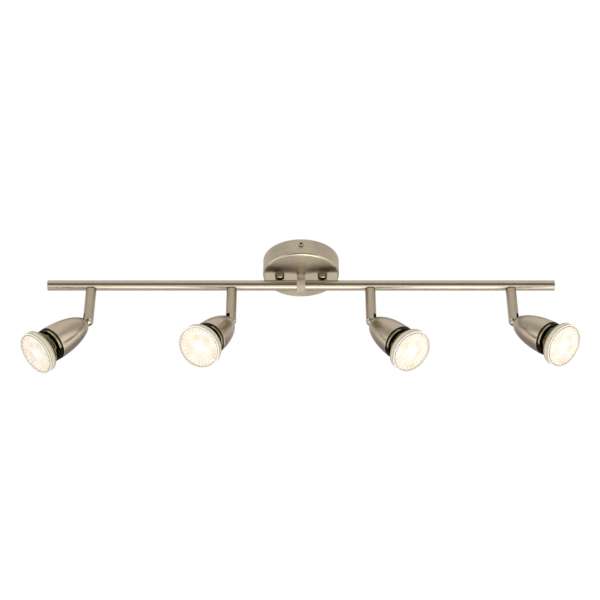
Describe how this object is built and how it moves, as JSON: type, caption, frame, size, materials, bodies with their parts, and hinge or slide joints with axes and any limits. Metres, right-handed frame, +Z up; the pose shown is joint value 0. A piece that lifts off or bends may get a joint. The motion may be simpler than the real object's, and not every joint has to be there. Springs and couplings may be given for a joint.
{
  "type": "track lighting fixture",
  "caption": "Ceiling spotlight bar: round rose, one straight tube on a short post, and swivelling bullet-shaped heads on stalks, each with a GU10 reflector lamp.",
  "frame": {"origin": "centre of the rose in the ceiling plane, midway between the two ceiling screws", "axes": "+X along the bar, +Z up into the ceiling, -Y towards the side with the rose's locking screw"},
  "size_m": [0.6247, 0.1082, 0.1609],
  "materials": {
    "satin_nickel": "brushed warm satin nickel plate",
    "polished_nickel": "polished nickel plate",
    "zinc_steel": "zinc-plated steel",
    "brass": "plain brass",
    "terminal_plastic": "off-white nylon",
    "wire_insulation": "silicone insulation",
    "black_collar": "gloss black",
    "ceramic": "unglazed white",
    "lamp_moulding": "white moulded base",
    "lamp_glass": "ribbed pressed glass",
    "lamp_lens": "clear front glass, lit from behind"
  },
  "bodies": {
    "canopy": {"ceiling_bracket": "zinc_steel", "bracket_studs": "zinc_steel", "bracket_nuts": "zinc_steel", "rose_cover": "satin_nickel", "cap_nuts": "polished_nickel", "side_screw": "polished_nickel", "terminal_block": "terminal_plastic", "terminal_clamps": "brass", "bracket_screws": "brass", "bar_post": "satin_nickel", "post_nut": "zinc_steel", "bar_tube": "satin_nickel", "end_caps": "satin_nickel", "trunk_wires": "wire_insulation", "pan_nipples": "zinc_steel", "pan_nuts": "zinc_steel"},
    "arm_1": {"stalk_1": "satin_nickel", "hinge_pin_1": "polished_nickel"},
    "head_1": {"knuckle_1": "polished_nickel", "head_shell_1": "satin_nickel", "front_collar_1": "black_collar", "lampholder_1": "ceramic", "holder_screws_1": "zinc_steel"},
    "lamp_1": {"lamp_base_1": "lamp_moulding", "lamp_pins_1": "polished_nickel", "lamp_glass_1": "lamp_glass", "lamp_lens_1": "lamp_lens"},
    "arm_2": {"stalk_2": "satin_nickel", "hinge_pin_2": "polished_nickel"},
    "head_2": {"knuckle_2": "polished_nickel", "head_shell_2": "satin_nickel", "front_collar_2": "black_collar", "lampholder_2": "ceramic", "holder_screws_2": "zinc_steel"},
    "lamp_2": {"lamp_base_2": "lamp_moulding", "lamp_pins_2": "polished_nickel", "lamp_glass_2": "lamp_glass", "lamp_lens_2": "lamp_lens"},
    "arm_3": {"stalk_3": "satin_nickel", "hinge_pin_3": "polished_nickel"},
    "head_3": {"knuckle_3": "polished_nickel", "head_shell_3": "satin_nickel", "front_collar_3": "black_collar", "lampholder_3": "ceramic", "holder_screws_3": "zinc_steel"},
    "lamp_3": {"lamp_base_3": "lamp_moulding", "lamp_pins_3": "polished_nickel", "lamp_glass_3": "lamp_glass", "lamp_lens_3": "lamp_lens"},
    "arm_4": {"stalk_4": "satin_nickel", "hinge_pin_4": "polished_nickel"},
    "head_4": {"knuckle_4": "polished_nickel", "head_shell_4": "satin_nickel", "front_collar_4": "black_collar", "lampholder_4": "ceramic", "holder_screws_4": "zinc_steel"},
    "lamp_4": {"lamp_base_4": "lamp_moulding", "lamp_pins_4": "polished_nickel", "lamp_glass_4": "lamp_glass", "lamp_lens_4": "lamp_lens"}
  },
  "joints": [
    {"name": "pan_1", "type": "hinge", "parent": "canopy", "child": "arm_1", "pos_m": [-0.244, 0, -0.04435], "axis": [0, 0, 1], "range_deg": [-106, 234]},
    {"name": "tilt_1", "type": "hinge", "parent": "arm_1", "child": "head_1", "pos_m": [-0.244, 0, -0.08335], "axis": [-0.4384, 0.8988, 0], "range_deg": [-43.5, 46.5]},
    {"name": "lamp_twist_1", "type": "hinge", "parent": "head_1", "child": "lamp_1", "pos_m": [-0.26875, -0.01207, -0.11237], "axis": [-0.6187, -0.3018, -0.7254], "range_deg": [0, 20]},
    {"name": "pan_2", "type": "hinge", "parent": "canopy", "child": "arm_2", "pos_m": [-0.0805, 0, -0.04435], "axis": [0, 0, 1], "range_deg": [-133, 207]},
    {"name": "tilt_2", "type": "hinge", "parent": "arm_2", "child": "head_2", "pos_m": [-0.0805, 0, -0.08335], "axis": [-0.7986, 0.6018, 0], "range_deg": [-41, 49]},
    {"name": "lamp_twist_2", "type": "hinge", "parent": "head_2", "child": "lamp_2", "pos_m": [-0.09629, -0.02096, -0.11354], "axis": [-0.3948, -0.524, -0.7547], "range_deg": [0, 20]},
    {"name": "pan_3", "type": "hinge", "parent": "canopy", "child": "arm_3", "pos_m": [0.0805, 0, -0.04435], "axis": [0, 0, 1], "range_deg": [-222, 118]},
    {"name": "tilt_3", "type": "hinge", "parent": "arm_3", "child": "head_3", "pos_m": [0.0805, 0, -0.08335], "axis": [-0.6157, -0.788, 0], "range_deg": [-41, 49]},
    {"name": "lamp_twist_3", "type": "hinge", "parent": "head_3", "child": "lamp_3", "pos_m": [0.10118, -0.01616, -0.11354], "axis": [0.517, -0.4039, -0.7547], "range_deg": [0, 20]},
    {"name": "pan_4", "type": "hinge", "parent": "canopy", "child": "arm_4", "pos_m": [0.244, 0, -0.04435], "axis": [0, 0, 1], "range_deg": [-222, 118]},
    {"name": "tilt_4", "type": "hinge", "parent": "arm_4", "child": "head_4", "pos_m": [0.244, 0, -0.08335], "axis": [-0.6157, -0.788, 0], "range_deg": [-46.5, 43.5]},
    {"name": "lamp_twist_4", "type": "hinge", "parent": "head_4", "child": "lamp_4", "pos_m": [0.26686, -0.01786, -0.11088], "axis": [0.5716, -0.4466, -0.6884], "range_deg": [0, 20]}
  ]
}
